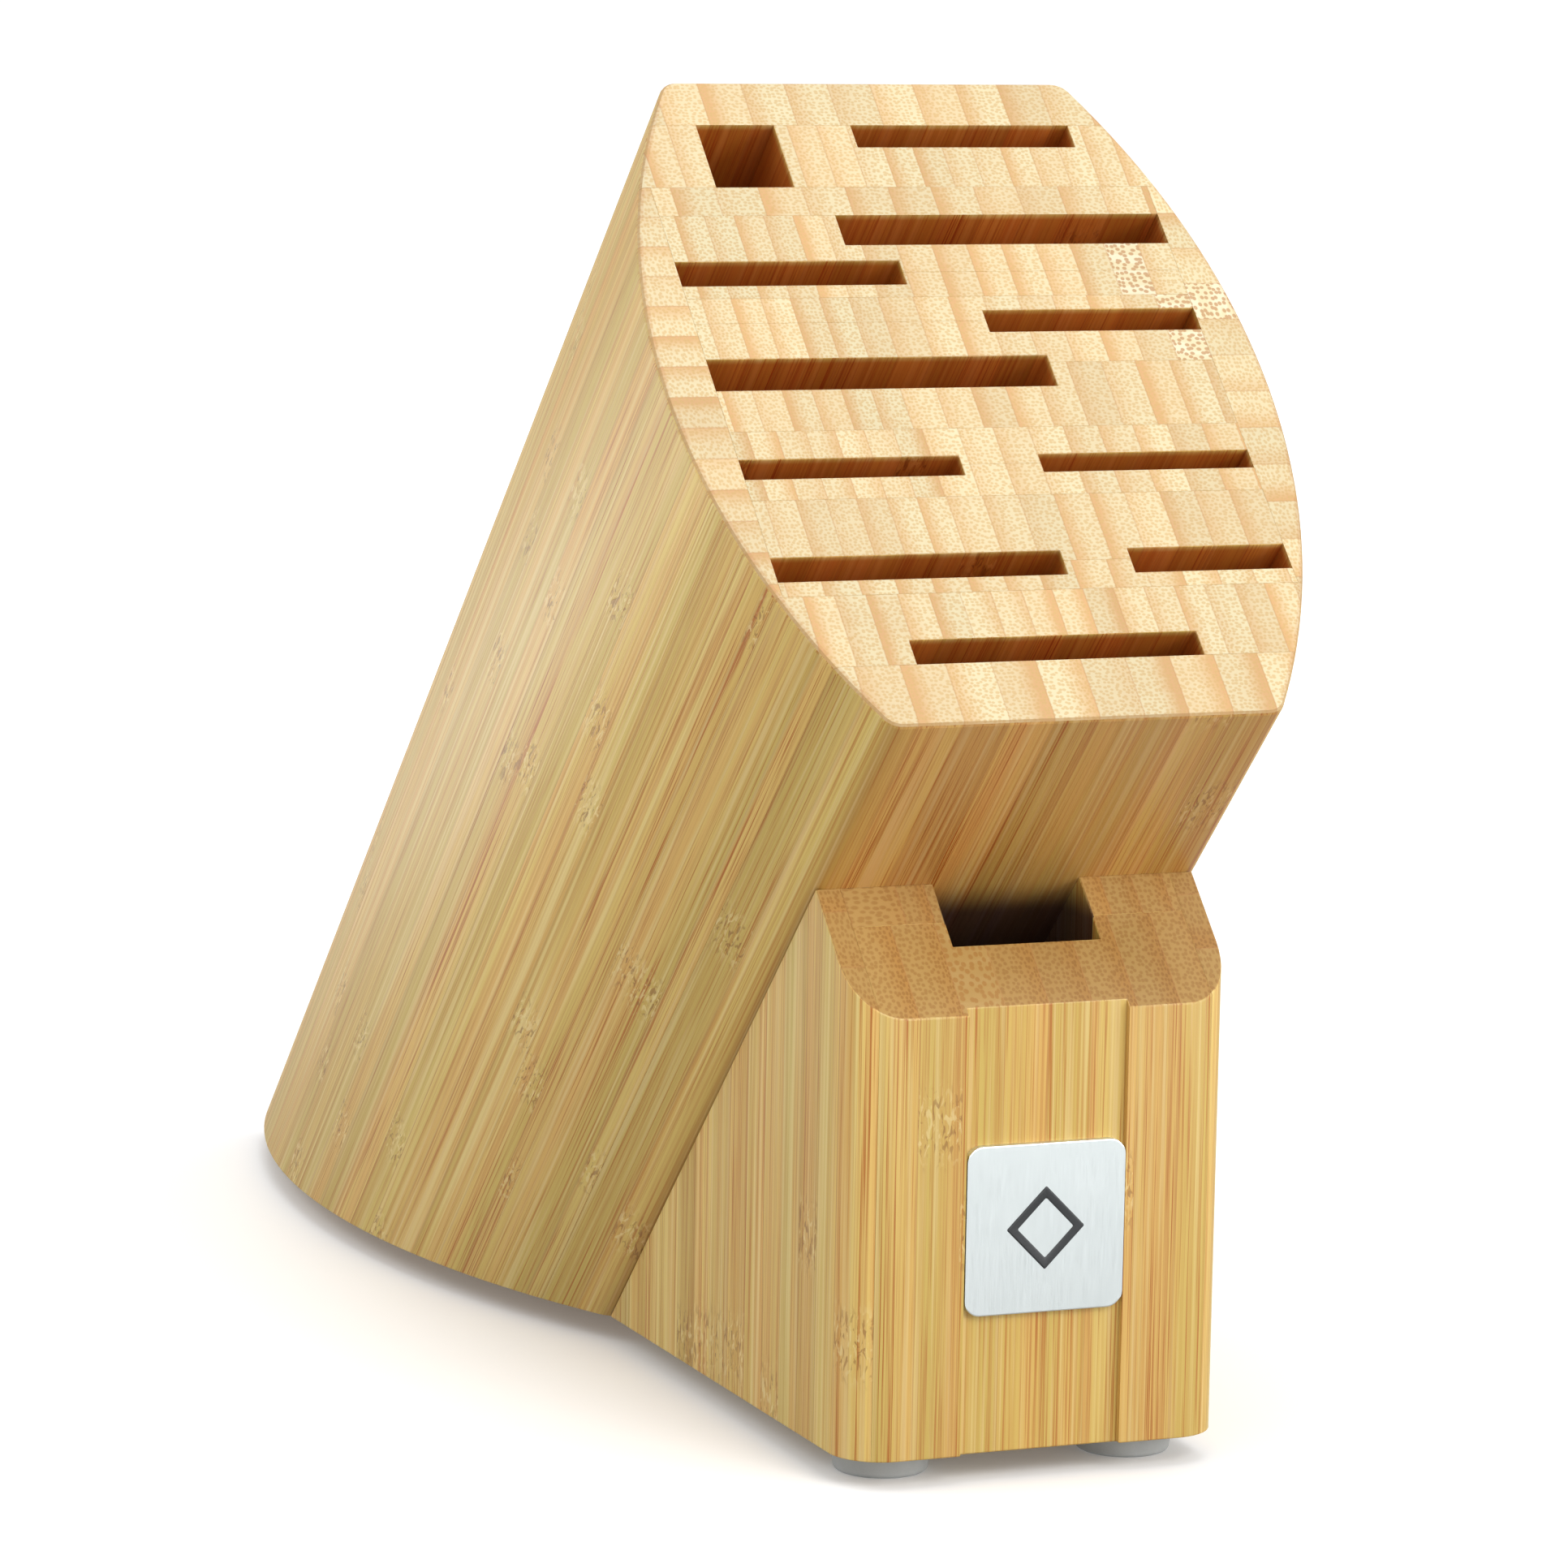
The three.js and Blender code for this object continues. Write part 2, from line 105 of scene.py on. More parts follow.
class Graph:
    """The nodes of a material or world. Most methods add a node and return its output socket."""

    def __init__(self, owner, shader):
        owner.use_nodes = True
        self.owner = owner
        self.tree = owner.node_tree
        self.shader = self.tree.nodes[shader]

    def node(self, kind, **settings):
        made = self.tree.nodes.new(kind)
        for key, value in settings.items():
            setattr(made, key, value)
        return made

    def feed(self, socket, value):
        if isinstance(value, bpy.types.NodeSocket):
            self.tree.links.new(value, socket)
        else:
            socket.default_value = value

    def math(self, operation, *values):
        made = self.node("ShaderNodeMath", operation=operation)
        for socket, value in zip(made.inputs, values):
            self.feed(socket, value)
        return made.outputs[0]

    def add(self, first, second):
        return self.math("ADD", first, second)

    def times(self, first, second):
        return self.math("MULTIPLY", first, second)

    def line(self, value, slope, base):
        """value * slope + base"""
        return self.math("MULTIPLY_ADD", value, slope, base)

    def vector_math(self, operation, first, second, output="Vector"):
        made = self.node("ShaderNodeVectorMath", operation=operation)
        self.feed(made.inputs[0], first)
        self.feed(made.inputs[1], second)
        return made.outputs[output]

    def vector(self, x, y, z):
        made = self.node("ShaderNodeCombineXYZ")
        for socket, value in zip(made.inputs, (x, y, z)):
            self.feed(socket, value)
        return made.outputs[0]

    def parts(self, vector):
        made = self.node("ShaderNodeSeparateXYZ")
        self.feed(made.inputs[0], vector)
        return made.outputs[:3]

    def noise(self, vector, detail=2.0, roughness=0.5, distortion=0.0):
        made = self.node("ShaderNodeTexNoise")
        self.feed(made.inputs["Vector"], vector)
        made.inputs["Scale"].default_value = 1.0
        made.inputs["Detail"].default_value = detail
        made.inputs["Roughness"].default_value = roughness
        made.inputs["Distortion"].default_value = distortion
        return made.outputs["Fac"]

    def cells(self, vector, randomness=0.8):
        """Distance to the nearest cell centre in x and y, and a colour for each cell."""
        made = self.node("ShaderNodeTexVoronoi", feature="F1", voronoi_dimensions="2D")
        self.feed(made.inputs["Vector"], vector)
        made.inputs["Scale"].default_value = 1.0
        made.inputs["Randomness"].default_value = randomness
        return made.outputs["Distance"], made.outputs["Color"]

    def random(self, seed):
        """Three random numbers that depend only on seed."""
        made = self.node("ShaderNodeTexWhiteNoise", noise_dimensions="1D")
        self.feed(made.inputs["W"], seed)
        return self.parts(made.outputs["Color"])

    def step(self, value, low, high, out_low=0.0, out_high=1.0):
        """A smooth step from out_low to out_high as value goes from low to high."""
        made = self.node("ShaderNodeMapRange", interpolation_type="SMOOTHSTEP")
        for socket, number in zip(made.inputs[:5], (value, low, high, out_low, out_high)):
            self.feed(socket, number)
        return made.outputs[0]

    def mix(self, factor, first, second, blend="MIX"):
        made = self.node("ShaderNodeMix", data_type="RGBA", blend_type=blend)
        for index, value in ((0, factor), (6, first), (7, second)):
            self.feed(made.inputs[index], value)
        return made.outputs[2]

    def scale_color(self, color, factor):
        made = self.node("ShaderNodeVectorMath", operation="SCALE")
        self.feed(made.inputs[0], color)
        self.feed(made.inputs["Scale"], factor)
        return made.outputs[0]

    def attribute(self, name):
        return self.node("ShaderNodeAttribute", attribute_name=name).outputs["Fac"]

    def bump(self, height, distance, strength):
        made = self.node("ShaderNodeBump")
        self.feed(made.inputs["Height"], height)
        made.inputs["Distance"].default_value = distance
        made.inputs["Strength"].default_value = strength
        self.feed(self.shader.inputs["Normal"], made.outputs[0])

    def set(self, **values):
        """Feeds sockets of the shader by name, with _ for a space."""
        for key, value in values.items():
            self.feed(self.shader.inputs[key.replace("_", " ")], value)


def material_graph(name):
    return Graph(bpy.data.materials.new(name), "Principled BSDF")


# ---- Bamboo ------------------------------------------------------------------------------

LONG_YELLOW = linear(226, 196, 110)
LONG_ORANGE = linear(222, 178, 98)
LONG_OLIVE = linear(202, 176, 88)
LONG_FIBRE = linear(178, 104, 32)
NODE_SCAR = linear(140, 88, 36)
NODE_PALE = linear(238, 216, 152)
END_PALE = linear(209, 196, 158)
END_DENSE = linear(196, 154, 104)
END_DOT = linear(191, 155, 98)
FOOT_END_DOT = linear(128, 84, 44)
END_RIM = linear(176, 136, 80)
COARSE_PALE = linear(216, 205, 174)
COARSE_DOT = linear(170, 124, 76)
GLUE_LINE = linear(170, 116, 66)
# Painted shade on the walls of the slots.
SLOT_PAINTED_SHADE = linear(212, 146, 104)
# Painted shade inside the shears pocket, almost black.
POCKET_PAINTED_SHADE = (0.14, 0.12, 0.26, 1)
PLAIN = (1, 1, 1, 1)
# Painted shade on the foot's end grain, which lies under the body.
FOOT_END_PAINTED_SHADE = (0.82, 0.71, 0.42, 1)
# Painted shade on the front faces of the foot boards.
FOOT_FRONT_PAINTED_SHADE = (0.86, 0.83, 0.80, 1)
# Painted shade on the front flat of board_11, which faces down and forward.
FLAT_PAINTED_SHADE = (0.78, 0.63, 0.58, 1)

BUNDLE = 0.72               # spacing of the fibre bundles, mm
COARSE_BUNDLE = 1.06        # their spacing in a coarse strip, mm
CROWDING = 0.82             # the further below 1, the more bundles crowd the dense side
NODE_GAP = 150.0            # between the node scars of one strip, mm
NODE_REACH = (2.0, 8.0)     # where scars start to thin out and where they end, mm from a node
SCAR_DEPTH = 0.60           # how far a scar takes on its own colour
GLUE_REACH = (0.02, 0.20)   # where a glue line starts to fade and where it ends, mm
SLOT_MOUTH = (-1.5, 0.5)    # where the painted shade in a slot fades out, mm along the grain
POCKET_SLACK = 0.2          # added round the shears pocket, mm
BOARD_STRIDE = 17.3         # keeps the random numbers of two boards apart
STRIP_STRIDE = 23.0         # keeps the bundles of two strips apart
SHIFT_REACH = 97.0          # keeps the noise of two strips apart
NONE = (1, 0)               # an empty range of strips


class Grain:
    """Where the grain of a group of pieces runs, which way their strips are stacked, and the painted
    shade on their end grain.
    """

    def __init__(self, origin, along, depth, stacked_in_depth, end_painted_shade, end_dot):
        self.origin = origin
        self.along = along
        self.depth = depth
        self.stacked_in_depth = stacked_in_depth
        self.end_painted_shade = end_painted_shade
        self.end_dot = end_dot


class Layup:
    """How a board is laid up from strips side by side, with ranges of them as (first, last)."""

    def __init__(self, seed, start, width, width_below=None, turned=NONE, coarse=NONE, dark=NONE,
                 tone=PLAIN):
        self.seed = seed
        self.start = start                          # where strip 0 begins, mm
        self.width = width                          # of strip 0 and those after it, mm
        self.width_below = width_below or width     # of the strips before strip 0, mm
        self.turned = turned                        # strips whose dense side comes last
        self.coarse = coarse                        # strips with large dark bundles
        self.dark = dark                            # strips that are much redder
        self.tone = tone                            # painted shade on the faces along the grain that face the depth way


BODY_BOARDS = Grain(BODY_ORIGIN, OUT_OF_FACE, TO_FRONT, False, PLAIN, END_DOT)
BODY_CHEEKS = Grain(BODY_ORIGIN, OUT_OF_FACE, TO_FRONT, True, PLAIN, END_DOT)
FOOT_BOARDS = Grain(FOOT_ORIGIN, UP, BACKWARDS, False, FOOT_END_PAINTED_SHADE, FOOT_END_DOT)
FOOT_CHEEKS = Grain(FOOT_ORIGIN, UP, BACKWARDS, True, FOOT_END_PAINTED_SHADE, FOOT_END_DOT)


def millimetres(g):
    """The place on the object, in mm."""
    position = g.node("ShaderNodeTexCoord").outputs["Object"]
    return g.vector_math("MULTIPLY", position, (1000, 1000, 1000))


def wood_coordinates(g, grain):
    """Across the strips, up or down them, and along the grain, in mm."""
    local = g.vector_math("SUBTRACT", millimetres(g), grain.origin / MM)
    x = g.parts(local)[0]
    depth = g.vector_math("DOT_PRODUCT", local, grain.depth, "Value")
    along = g.vector_math("DOT_PRODUCT", local, grain.along, "Value")
    return (depth, x, along) if grain.stacked_in_depth else (x, depth, along)


def squareness(g, direction):
    """How squarely the surface faces along direction, either way: 0 to 1."""
    normal = g.node("ShaderNodeTexCoord").outputs["Normal"]
    return g.math("ABSOLUTE", g.vector_math("DOT_PRODUCT", normal, direction, "Value"))


def in_range(g, number, limits):
    """1 for strips from the first to the last of limits, else 0."""
    first, last = limits
    if first > last:
        return 0.0
    return g.math("COMPARE", number, (first + last) / 2, (last - first) / 2 + 0.25)


def strips(g, layup, across):
    """The strip's number, the way across it from its dense side, and the distance to its edge."""
    offset = g.math("SUBTRACT", across, layup.start)
    below = g.math("DIVIDE", g.math("MINIMUM", offset, 0.0), layup.width_below)
    above = g.math("DIVIDE", g.math("MAXIMUM", offset, 0.0), layup.width)
    position = g.add(below, above)
    number = g.math("FLOOR", position)
    fraction = g.math("FRACT", position)
    mirrored = g.math("SUBTRACT", 1.0, fraction)
    turned = in_range(g, number, layup.turned)
    way = g.line(turned, g.math("SUBTRACT", mirrored, fraction), fraction)
    to_edge = g.times(g.math("MINIMUM", fraction, mirrored), layup.width)
    return number, way, to_edge


class Wood:
    """The wood of one board as sockets: the place in it, and what the strip there is like."""

    def __init__(self, g, grain, layup):
        self.across, self.tall, self.along = wood_coordinates(g, grain)
        self.number, self.way, self.to_edge = strips(g, layup, self.across)
        seed = g.add(self.number, BOARD_STRIDE * layup.seed)
        self.tone, self.place, self.vigour = g.random(seed)
        self.coarse = in_range(g, self.number, layup.coarse)
        self.dark = in_range(g, self.number, layup.dark)
        self.shift = g.times(self.place, SHIFT_REACH)
        self.distance, self.dot = bundle_dots(g, layup, self)
        self.dense = denseness(g, self)


def bundle_dots(g, layup, wood):
    """Fibre bundles, which run the whole grain: distance to the nearest, and its dot."""
    crowded = g.math("POWER", wood.way, CROWDING)
    spacing = g.line(wood.coarse, COARSE_BUNDLE - BUNDLE, BUNDLE)
    column = g.math("DIVIDE", g.times(crowded, layup.width), spacing)
    row = g.math("DIVIDE", wood.tall, g.times(spacing, 0.9))
    spot = g.vector(g.line(wood.number, STRIP_STRIDE, column), g.add(row, wood.shift), 0.0)
    distance, cell = g.cells(spot, 0.75)
    size = g.line(g.parts(cell)[0], 0.08, 0.26)
    dot = g.step(distance, g.times(size, 0.8), g.times(size, 1.6), 1.0, 0.0)
    return distance, dot


def denseness(g, wood):
    """1 on the dense side of the strip and 0 on the other, with a wavy front between."""
    wave = g.noise(g.vector(g.times(wood.tall, 0.9), wood.shift, g.times(wood.along, 0.02)), 2.0)
    return g.step(g.add(wood.way, g.line(wave, 0.22, -0.11)), -0.05, 0.62, 1.0, 0.0)


def fibre_noise(g, wood, fineness, fineness_along, *settings):
    """Noise drawn out along the grain, with its fineness per mm across the grain and along it."""
    return g.noise(g.vector(
        g.times(wood.across, fineness),
        g.times(wood.tall, fineness),
        g.line(wood.along, fineness_along, wood.shift),
    ), *settings)


def end_ground(g, wood):
    """The ground between the cut bundles: pale, and redder in the dense part of a strip."""
    place = g.vector(g.times(wood.across, 0.16), g.times(wood.tall, 0.16), g.times(wood.along, 0.01))
    cloud = g.noise(place, 3.0)
    redness = g.times(wood.dense, g.line(wood.vigour, 0.8, g.line(wood.dark, 0.8, 0.25)))
    redness = g.add(redness, g.line(wood.tone, 0.30, g.line(cloud, 0.4, -0.20)))
    limited = g.math("MINIMUM", g.math("MAXIMUM", redness, 0.0), 1.0)
    return g.mix(limited, END_PALE, END_DENSE)


def coarse_end(g, wood):
    """The end of a coarse strip: bands of paler ground with large dark bundles."""
    bands = g.noise(g.vector(g.times(wood.across, 0.10), g.times(wood.tall, 0.55), 0.0), 1.0)
    ground = g.mix(g.step(bands, 0.50, 0.58), END_PALE, COARSE_PALE)
    return g.mix(g.step(wood.distance, 0.26, 0.44, 0.8, 0.0), ground, COARSE_DOT)


def end_grain(g, grain, layup, wood, cut):
    """The wood cut across, with the fibre bundles as dots and a rim where it turns the edge."""
    dot_depth = g.line(wood.dense, g.line(wood.vigour, 0.3, 0.1), 0.62)
    color = g.mix(g.times(wood.dot, dot_depth), end_ground(g, wood), grain.end_dot)
    if layup.coarse != NONE:
        color = g.mix(wood.coarse, color, coarse_end(g, wood))
    color = g.mix(g.step(cut, 0.80, 0.97, 0.65, 0.0), color, END_RIM)
    # Painted shade: the end grain of the foot, under the body, is darkened; the body's is left
    # plain.
    color = g.mix(1.0, color, grain.end_painted_shade, "MULTIPLY")
    return g.scale_color(color, g.line(wood.place, 0.14, 0.93))


def long_ground(g, wood):
    """Soft wide bands of yellow, orange and olive along the grain."""
    slow = g.line(wood.along, 0.0035, wood.shift)
    band = g.noise(g.vector(g.times(wood.across, 0.40), g.times(wood.tall, 0.40), slow), 3.0)
    slower = g.times(slow, 0.7)
    hue = g.noise(g.vector(g.times(wood.across, 0.09), g.times(wood.tall, 0.09), slower), 2.0)
    ground = g.mix(g.step(band, 0.36, 0.64), LONG_YELLOW, LONG_ORANGE)
    return g.mix(g.times(g.step(hue, 0.38, 0.62), 0.75), ground, LONG_OLIVE)


def node_scars(g, wood):
    """Short wavy dashes in a narrow band across the strip at each node: dark ones and pale ones."""
    turns = g.add(g.math("DIVIDE", wood.along, NODE_GAP), g.times(wood.place, 7.0))
    from_node = g.math("ABSOLUTE", g.math("SUBTRACT", g.math("FRACT", turns), 0.5))
    near_node = g.step(g.times(from_node, NODE_GAP), *NODE_REACH, 1.0, 0.0)
    wave = fibre_noise(g, wood, 1.25, 0.42, 2.0, 0.5, 0.8)
    dark = g.times(g.step(wave, 0.56, 0.64), near_node)
    pale = g.times(g.step(wave, 0.36, 0.44, 1.0, 0.0), near_node)
    return dark, pale


def long_grain(g, grain, layup, wood, fine, dark_scar, pale_scar):
    """The wood along the grain: single fibres at two scales, the bundles' traces, and nodes."""
    broad = fibre_noise(g, wood, 0.9, 0.009, 3.0, 0.6)
    fibre = g.times(g.step(fine, 0.48, 0.64), g.step(broad, 0.40, 0.62, 0.25, 1.0))
    fibre_depth = g.line(wood.vigour, 0.60, 0.50)
    color = g.mix(g.times(fibre, fibre_depth), long_ground(g, wood), LONG_FIBRE)
    color = g.mix(g.times(wood.dot, g.line(wood.dense, 0.25, 0.14)), color, LONG_FIBRE)
    color = g.mix(g.step(broad, 0.34, 0.50, 0.45, 0.0), color, NODE_PALE)
    color = g.mix(g.times(pale_scar, SCAR_DEPTH), color, NODE_PALE)
    color = g.mix(g.times(dark_scar, SCAR_DEPTH), color, NODE_SCAR)
    color = g.scale_color(color, g.line(wood.tone, 0.16, 0.92))
    # Painted shade: the layup's tone darkens the faces square to the grain's depth, the down-facing
    # front flat and the foot's fronts.
    if layup.tone != PLAIN:
        front = g.step(squareness(g, grain.depth), 0.60, 0.95)
        color = g.mix(front, color, layup.tone, "MULTIPLY")
    return color


def in_pocket(g):
    """1 inside the shears pocket between the foot and the body, 0 outside it: where its painted
    shade goes.
    """
    place = millimetres(g)
    x, y, z = g.parts(place)
    forward = g.vector_math("DOT_PRODUCT", place, TO_FRONT, "Value")
    beside = g.math("LESS_THAN", g.math("ABSOLUTE", x), POCKET_HALF_WIDTH + POCKET_SLACK)
    behind = g.math("GREATER_THAN", y, POCKET_FRONT - POCKET_SLACK)
    outside_body = g.math("GREATER_THAN", forward, BODY_FRONT / MM - POCKET_SLACK)
    below = g.step(z, POCKET_FRONT_RIM - 1.0, POCKET_BACK_RIM, 1.0, 0.0)
    above = g.math("GREATER_THAN", z, FOOT_ORIGIN.z / MM + 1.0)
    inside = g.times(g.times(beside, behind), outside_body)
    return g.times(inside, g.times(above, below))


def bamboo(name, grain, layup):
    """Laminated strips of bamboo: bundle dots on end grain, streaks and node scars along it."""
    g = material_graph(name)
    wood = Wood(g, grain, layup)
    cut = squareness(g, grain.along)
    end = g.step(cut, 0.42, 0.60)
    fine = fibre_noise(g, wood, 3.3, 0.022, 3.0, 0.6)
    dark_scar, pale_scar = node_scars(g, wood)

    color = long_grain(g, grain, layup, wood, fine, dark_scar, pale_scar)
    color = g.mix(end, color, end_grain(g, grain, layup, wood, cut))
    color = g.mix(g.step(wood.to_edge, *GLUE_REACH, 0.32, 0.0), color, GLUE_LINE)
    # Painted shade: the slot walls are darkened below the mouth, where the opposite wall shades
    # them.
    slot_shade_mask = g.times(g.attribute("slot_shade_mask"), g.step(wood.along, *SLOT_MOUTH, 1.0, 0.0))
    color = g.mix(slot_shade_mask, color, SLOT_PAINTED_SHADE, "MULTIPLY")
    # Painted shade: the shears pocket is darkened nearly to black.
    color = g.mix(in_pocket(g), color, POCKET_PAINTED_SHADE, "MULTIPLY")

    scars = g.line(dark_scar, -0.8, g.times(pale_scar, 0.6))
    g.bump(g.line(wood.dot, -0.5, g.line(fine, 0.8, scars)), 0.05 * MM, 0.5)
    g.set(Base_Color=color, Roughness=g.line(fine, 0.14, g.line(end, 0.14, 0.34)))
    return g.owner


# ---- Badge, rubber, steel and dowels -----------------------------------------------------


def object_noise(g, fineness, *settings):
    """Noise with its fineness per mm along x, y and z."""
    return g.noise(g.vector_math("MULTIPLY", millimetres(g), fineness), *settings)


def brushed_steel():
    """Light steel brushed up and down, with a faint cloudiness."""
    g = material_graph("brushed_steel")
    brush = object_noise(g, (7.0, 7.0, 0.16), 3.0, 0.65)
    cloud = object_noise(g, (0.12, 0.12, 0.12), 2.0)
    color = g.mix(g.line(cloud, 0.6, 0.2), linear(222, 228, 228), linear(208, 216, 216))
    g.set(Base_Color=color, Metallic=1.0, Roughness=g.line(brush, 0.26, 0.24))
    g.bump(brush, 0.02 * MM, 0.6)
    return g.owner


def badge_ink():
    """Dark satin print with a slightly uneven surface."""
    g = material_graph("badge_ink")
    grain = object_noise(g, (5.0, 5.0, 5.0), 3.0)
    color = g.mix(grain, linear(30, 32, 34), linear(52, 54, 56))
    g.set(Base_Color=color, Roughness=g.line(grain, 0.2, 0.35))
    g.bump(grain, 0.01 * MM, 0.5)
    return g.owner


def grey_rubber():
    """Light grey moulded rubber with a fine matt grain."""
    g = material_graph("grey_rubber")
    grain = object_noise(g, (6.0, 6.0, 6.0), 3.0, 0.7)
    cloud = object_noise(g, (0.4, 0.4, 0.4), 2.0)
    paleness = g.line(cloud, 0.5, g.times(grain, 0.5))
    color = g.mix(paleness, linear(176, 178, 176), linear(206, 208, 206))
    g.set(Base_Color=color, Roughness=g.line(grain, 0.2, 0.5))
    g.bump(grain, 0.03 * MM, 0.6)
    return g.owner


def zinc_steel():
    """Zinc-plated screw steel, a little mottled."""
    g = material_graph("zinc_steel")
    mottle = object_noise(g, (3.0, 3.0, 3.0), 3.0, 0.6)
    color = g.mix(mottle, linear(168, 172, 176), linear(206, 208, 208))
    g.set(Base_Color=color, Metallic=1.0, Roughness=g.line(mottle, 0.25, 0.22))
    g.bump(mottle, 0.02 * MM, 0.4)
    return g.owner


def beech():
    """Dowel wood: pale pinkish brown with short flecks along the dowel."""
    g = material_graph("beech")
    fleck = object_noise(g, (3.0, 0.6, 0.6), 4.0, 0.6)
    color = g.mix(g.step(fleck, 0.42, 0.66), linear(216, 178, 134), linear(176, 130, 88))
    g.set(Base_Color=color, Roughness=g.line(fleck, 0.2, 0.5))
    g.bump(fleck, 0.03 * MM, 0.5)
    return g.owner


# ---- Refining a CAD solid ----------------------------------------------------------------

EDGE_EASE = 0.22 * MM      # how far a worked edge is eased
TOUCHING = 0.45 * MM       # a face with a neighbour nearer than this is a glued one
SHARP = math.radians(40)   # an edge with a greater turn is a real one
SMOOTH = math.radians(20)  # an edge with a smaller turn belongs to a curved face
INSET = 0.4 * MM           # how far inside a face its edge is tested
WELD = 0.002 * MM          # corners nearer than this are one
LIFT = 0.001 * MM          # a ray starts this far off its own surface
SIGHT = 200 * MM           # how far a surface looks for a neighbour
FLAT = math.radians(0.4)   # triangles with a smaller turn between them are one face
EDGE_SHARES = (0.06, 0.2, 0.35, 0.5, 0.65, 0.8, 0.94)
BODY_PIECES = ("board_", "cheek_")


def solids_tree():
    """All CAD solids as one tree for ray casts, with each triangle's node name."""
    points, triangles, owners = [], [], []
    for name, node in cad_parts.items():
        base = len(points)
        points += [v.co.copy() for v in node.data.vertices]
        for polygon in node.data.polygons:
            triangles.append([base + i for i in polygon.vertices])
            owners.append(name)
    return BVHTree.FromPolygons(points, triangles), owners


SOLIDS, OWNERS = solids_tree()


def looks_at(point, normal):
    """The node that a point of a surface faces, and how far off it is."""
    hit, _, index, gap = SOLIDS.ray_cast(point + normal * LIFT, normal, SIGHT)
    return (OWNERS[index], gap) if hit else (None, math.inf)


def eased(node, edge):
    """Whether this edge of a solid was worked: sharp, and free on both faces all along it."""
    if len(edge.link_faces) != 2 or edge.calc_face_angle(0) < SHARP:
        return False
    start, end = (vert.co for vert in edge.verts)
    for loop in edge.link_loops:
        inwards = edge.calc_tangent(loop) * INSET
        for share in EDGE_SHARES:
            owner, gap = looks_at(start.lerp(end, share) + inwards, loop.face.normal)
            if owner != node and gap < TOUCHING:
                return False
    return True


def mark_slot_walls(bm):
    """Marks the faces that look at a piece of the body: the walls of its slots, which get a painted
    shade.
    """
    layer = bm.faces.layers.float.new("slot_shade_mask")
    for face in bm.faces:
        owner, _ = looks_at(face.calc_center_median(), face.normal)
        face[layer] = 1.0 if owner and owner.startswith(BODY_PIECES) else 0.0


def refined(node, slot, material):
    """A CAD solid with clean faces, eased edges and smooth curved sides, in its place."""
    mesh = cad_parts[node].data.copy()
    mesh.materials.clear()
    bm = bmesh.new()
    bm.from_mesh(mesh)
    bmesh.ops.remove_doubles(bm, verts=bm.verts, dist=WELD)
    bmesh.ops.dissolve_limit(bm, angle_limit=FLAT, verts=bm.verts, edges=bm.edges)
    bm.normal_update()
    if node.startswith(BODY_PIECES):
        mark_slot_walls(bm)
    worked = [edge for edge in bm.edges if eased(node, edge)]
    bmesh.ops.bevel(bm, geom=worked, offset=EDGE_EASE, segments=2, profile=0.5, affect="EDGES")
    bm.to_mesh(mesh)
    bm.free()
    mesh.shade_smooth()
    mesh.set_sharp_from_angle(angle=SMOOTH)
    place(f"{node}_piece", mesh, slot, material, node)


def place(name, mesh, slot, material, node):
    """Makes an object of a mesh, lets it ride on the body and stand for a CAD node."""
    piece = bpy.data.objects.new(name, mesh)
    bpy.context.scene.collection.objects.link(piece)
    mesh.materials.append(material)
    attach(piece, "root")
    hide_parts(node)


# ---- The pieces --------------------------------------------------------------------------

BODY_LAYUPS = {
    "board_01": Layup(1, 0.5, 7.4),
    "board_02": Layup(2, -1.0, 5.07),
    "board_03": Layup(3, -2.6, 7.35),
    "board_04": Layup(4, -10.5, 5.95, 4.95, coarse=(7, 7)),
    "board_05": Layup(5, -10.8, 5.93, 4.9, coarse=(8, 8)),
    "board_06": Layup(6, -12.3, 5.9, 4.9),
    "board_07": Layup(7, -11.0, 5.92, 4.8, turned=(-9, -1)),
    "board_08": Layup(8, -10.8, 5.95, 4.95),
    "board_09": Layup(9, 0.0, 5.95, turned=(3, 9)),
    "board_10": Layup(10, 1.2, 5.08, turned=(-3, 1)),
    "board_11": Layup(11, 1.8, 7.35, turned=(-2, 4), dark=(1, 1), tone=FLAT_PAINTED_SHADE),
}
CHEEK_LAYUPS = {
    "cheek_left": Layup(12, 28.6, 6.05),
    "cheek_right": Layup(13, 28.3, 7.43, turned=(4, 12), coarse=(2, 2)),
}
FOOT_BOARD_LAYUPS = {
    "foot_board": Layup(21, 0.25, 7.23, turned=(-9, 9), coarse=(-2, -2), tone=FOOT_FRONT_PAINTED_SHADE),
    "foot_block_left": Layup(22, -18.6, 4.7, 9.0, turned=(-9, 9), tone=FOOT_FRONT_PAINTED_SHADE),
    "foot_block_right": Layup(23, 15.7, 5.25, turned=(-9, 9), tone=FOOT_FRONT_PAINTED_SHADE),
    "foot_wedge": Layup(24, -3.0, 7.2),
    "foot_plug": Layup(25, -3.0, 7.2),
}
FOOT_CHEEK_LAYUPS = {
    "foot_cheek_left": Layup(26, 7.1, 7.25),
    "foot_cheek_right": Layup(27, 7.1, 7.25),
}
WOODS = (                          # slot, grain, and the layup of each board
    ("body_bamboo", BODY_BOARDS, BODY_LAYUPS),
    ("body_bamboo", BODY_CHEEKS, CHEEK_LAYUPS),
    ("foot_bamboo", FOOT_BOARDS, FOOT_BOARD_LAYUPS),
    ("foot_bamboo", FOOT_CHEEKS, FOOT_CHEEK_LAYUPS),
)


def add_woods():
    """Every wooden board, with the layup that its name begins with."""
    for slot, grain, layups in WOODS:
        for prefix, layup in layups.items():
            material = bamboo(f"bamboo_{prefix}", grain, layup)
            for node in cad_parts:
                if node.startswith(prefix):
                    refined(node, slot, material)


